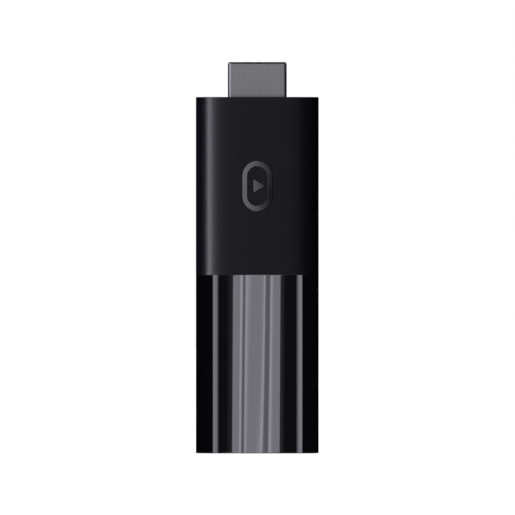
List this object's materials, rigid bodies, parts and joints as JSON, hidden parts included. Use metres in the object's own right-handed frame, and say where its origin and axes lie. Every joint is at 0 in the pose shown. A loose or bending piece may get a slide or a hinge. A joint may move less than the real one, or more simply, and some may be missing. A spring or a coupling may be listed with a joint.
{
  "type": "streaming media stick",
  "caption": "Slim upright media stick, matte black above gloss black, with an audio-video plug at its upper end and a power socket in one side.",
  "frame": {"origin": "centre of the flat bottom end, which the stick stands on", "axes": "+Z along the stick towards the plug, -Y out of the front face, +X towards the side with the power socket"},
  "size_m": [0.029, 0.0152, 0.0924],
  "materials": {
    "matte_housing": "fine moulded matte black plastic",
    "gloss_housing": "polished gloss black plastic",
    "emblem_gloss": "polished dark grey inlay",
    "plug_metal": "satin nickel-plated sheet steel",
    "socket_metal": "satin nickel-plated sheet steel",
    "connector_plastic": "moulded black insulator plastic",
    "contact_gold": "thin gold plating",
    "board_laminate": "green solder mask over glass laminate",
    "chip_epoxy": "matte black moulding compound",
    "shield_metal": "tin-plated sheet",
    "ferrite": "dark sintered ferrite",
    "lamp": "pale lamp resin",
    "clear_plastic": "clear moulded light guide",
    "thermal_pad": "soft grey-blue filled silicone",
    "spreader_aluminium": "rolled sheet, satin",
    "carrier_plastic": "moulded dark grey plastic",
    "screw_steel": "zinc-plated steel"
  },
  "bodies": {
    "root": {"upper_housing": "matte_housing", "lower_housing": "gloss_housing", "emblem_ring": "emblem_gloss", "emblem_arrow": "emblem_gloss", "plug_shell": "plug_metal", "plug_insulator": "connector_plastic", "plug_contact_holder": "connector_plastic", "plug_contact_01": "contact_gold", "plug_contact_02": "contact_gold", "plug_contact_03": "contact_gold", "plug_contact_04": "contact_gold", "plug_contact_05": "contact_gold", "plug_contact_06": "contact_gold", "plug_contact_07": "contact_gold", "plug_contact_08": "contact_gold", "plug_contact_09": "contact_gold", "plug_contact_10": "contact_gold", "plug_contact_11": "contact_gold", "plug_contact_12": "contact_gold", "plug_contact_13": "contact_gold", "plug_contact_14": "contact_gold", "plug_contact_15": "contact_gold", "plug_contact_16": "contact_gold", "plug_contact_17": "contact_gold", "plug_contact_18": "contact_gold", "plug_contact_19": "contact_gold", "power_socket_shell": "socket_metal", "power_socket_tongue": "connector_plastic", "power_socket_contact_1": "contact_gold", "power_socket_contact_2": "contact_gold", "power_socket_contact_3": "contact_gold", "power_socket_contact_4": "contact_gold", "power_socket_contact_5": "contact_gold", "main_board": "board_laminate", "processor": "chip_epoxy", "memory_chip_1": "chip_epoxy", "memory_chip_2": "chip_epoxy", "storage_chip": "chip_epoxy", "power_chip": "chip_epoxy", "wireless_module": "shield_metal", "crystal": "shield_metal", "power_inductor_1": "ferrite", "power_inductor_2": "ferrite", "status_led": "lamp", "light_pipe": "clear_plastic", "antenna_1": "shield_metal", "antenna_2": "shield_metal", "front_shield_fence": "shield_metal", "front_shield_lid": "shield_metal", "rear_shield": "shield_metal", "processor_pad": "thermal_pad", "front_thermal_pad": "thermal_pad", "rear_thermal_pad": "thermal_pad", "front_heat_spreader": "spreader_aluminium", "rear_heat_spreader": "spreader_aluminium", "board_carrier": "carrier_plastic", "board_screw_1": "screw_steel", "board_screw_2": "screw_steel"}
  },
  "joints": []
}
